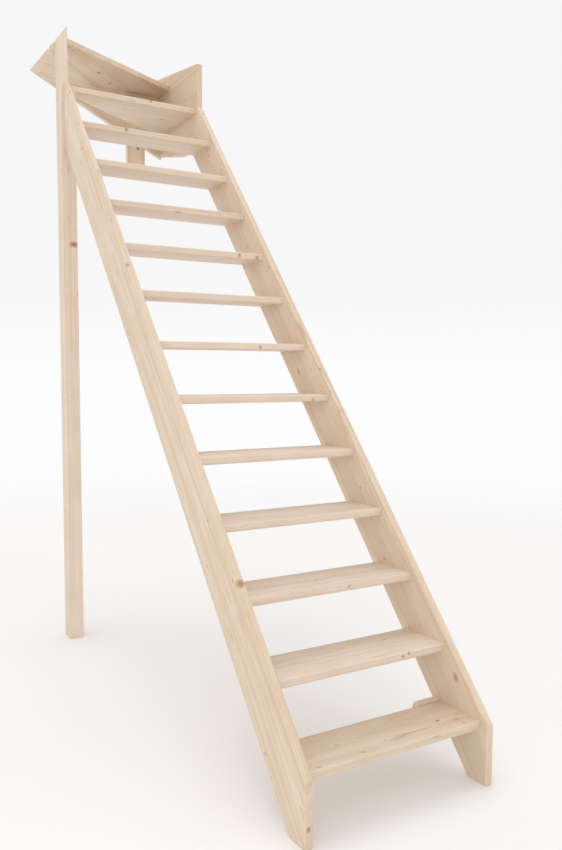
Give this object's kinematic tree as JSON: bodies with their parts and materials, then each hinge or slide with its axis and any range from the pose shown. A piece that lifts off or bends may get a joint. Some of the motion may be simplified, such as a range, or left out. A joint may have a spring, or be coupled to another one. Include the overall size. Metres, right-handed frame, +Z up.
{
  "type": "attic ladder",
  "caption": "Steep open-riser attic stair in pale softwood: two stringers with housed treads, winder treads turning left at the top and a full-height newel post.",
  "frame": {"origin": "centre of the footprint, on the floor the feet stand on", "axes": "+Z up, +Y the way the straight flight climbs, +X to the climber's right"},
  "size_m": [0.72, 2.554, 2.9149],
  "materials": {
    "stringer_wood": "planed and unfinished",
    "tread_wood": "planed and unfinished",
    "newel_wood": "planed and unfinished",
    "winder_board_wood": "planed and unfinished",
    "batten_wood": "planed and unfinished",
    "dowel_wood": "fluted hardwood",
    "plug_wood": "glued and sanded flush",
    "screw_steel": "zinc plated"
  },
  "bodies": {
    "root": {"left_stringer": "stringer_wood", "right_stringer": "stringer_wood", "newel_post": "newel_wood", "tread_01": "tread_wood", "tread_02": "tread_wood", "tread_03": "tread_wood", "tread_04": "tread_wood", "tread_05": "tread_wood", "tread_06": "tread_wood", "tread_07": "tread_wood", "tread_08": "tread_wood", "tread_09": "tread_wood", "tread_10": "tread_wood", "tread_11": "tread_wood", "tread_12": "tread_wood", "winder_tread_13": "tread_wood", "winder_tread_14": "tread_wood", "right_winder_board": "winder_board_wood", "back_winder_board": "winder_board_wood", "hanging_batten": "batten_wood", "rear_glue_block": "batten_wood", "left_tread_dowels": "dowel_wood", "right_tread_dowels": "dowel_wood", "winder_tread_dowels": "dowel_wood", "stringer_joint_dowels": "dowel_wood", "newel_screws": "screw_steel", "newel_screw_plugs": "plug_wood", "corner_screws": "screw_steel", "corner_screw_plugs": "plug_wood", "batten_screws": "screw_steel"}
  },
  "joints": []
}
